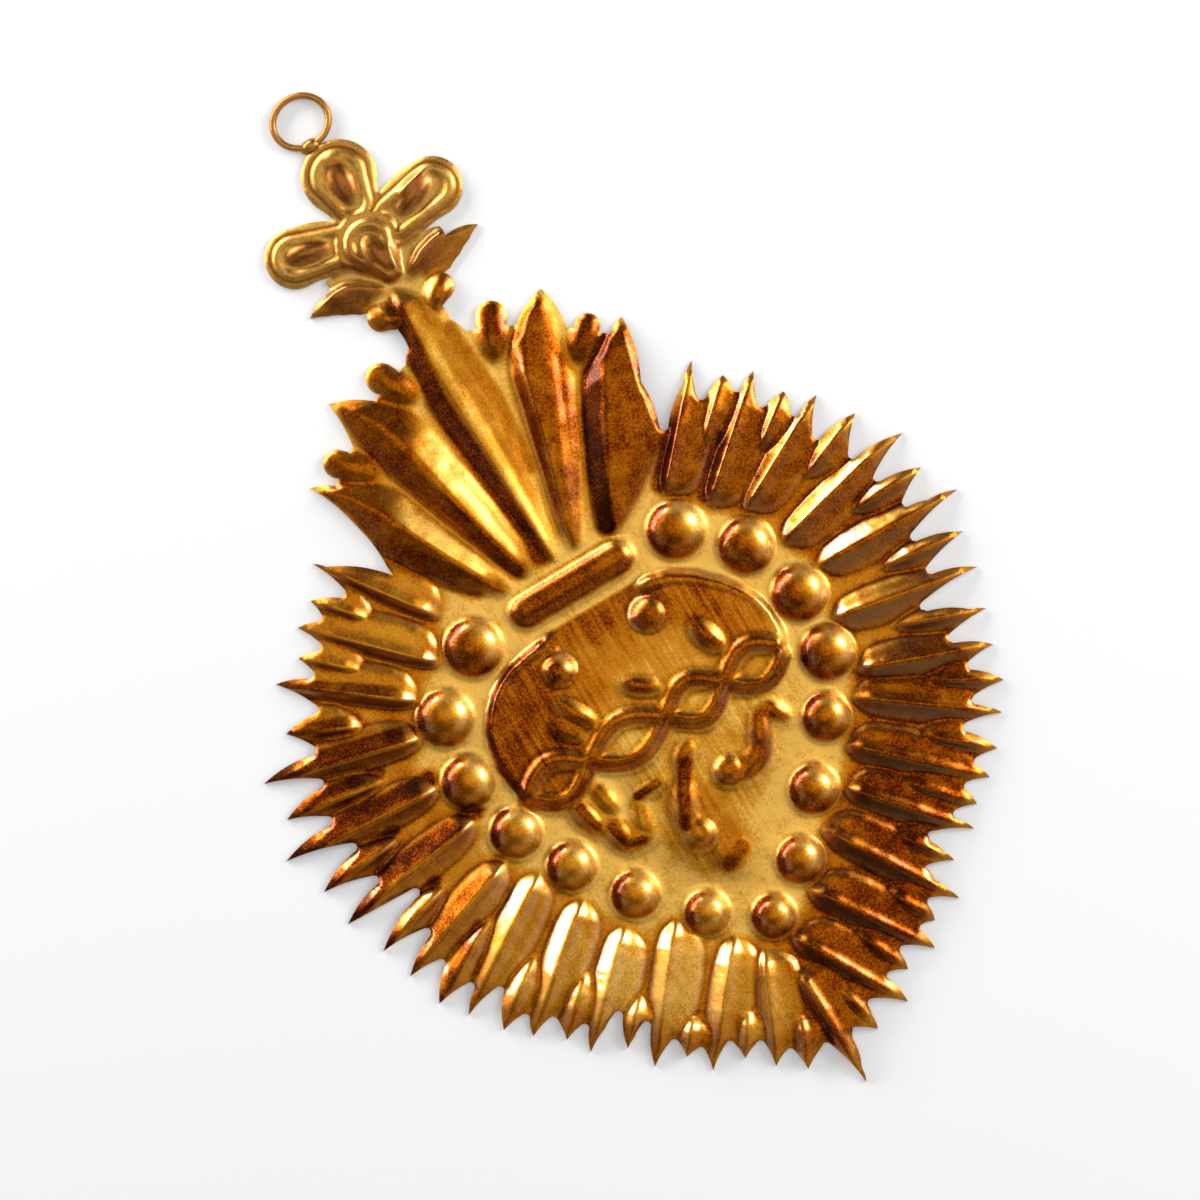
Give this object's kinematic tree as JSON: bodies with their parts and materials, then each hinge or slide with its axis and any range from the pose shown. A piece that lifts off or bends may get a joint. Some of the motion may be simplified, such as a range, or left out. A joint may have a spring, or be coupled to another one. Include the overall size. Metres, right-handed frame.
{
  "type": "milagro charm",
  "caption": "Embossed sheet-metal sacred heart charm with pointed rays, flames and a flower, hung from a wire ring soldered to its top petal.",
  "frame": {"origin": "middle of the heart, in the plane of the sheet's back, on which the charm lies", "axes": "+X to the right of the face, +Y up to the hanging ring, +Z out of the embossed face"},
  "size_m": [0.1022, 0.1523, 0.0033],
  "materials": {
    "gilt_sheet": "satin, antiqued",
    "ring_wire": "satin",
    "solder": "satin"
  },
  "bodies": {
    "root": {"embossed_sheet": "gilt_sheet", "hanging_ring": "ring_wire", "ring_solder": "solder"}
  },
  "joints": []
}
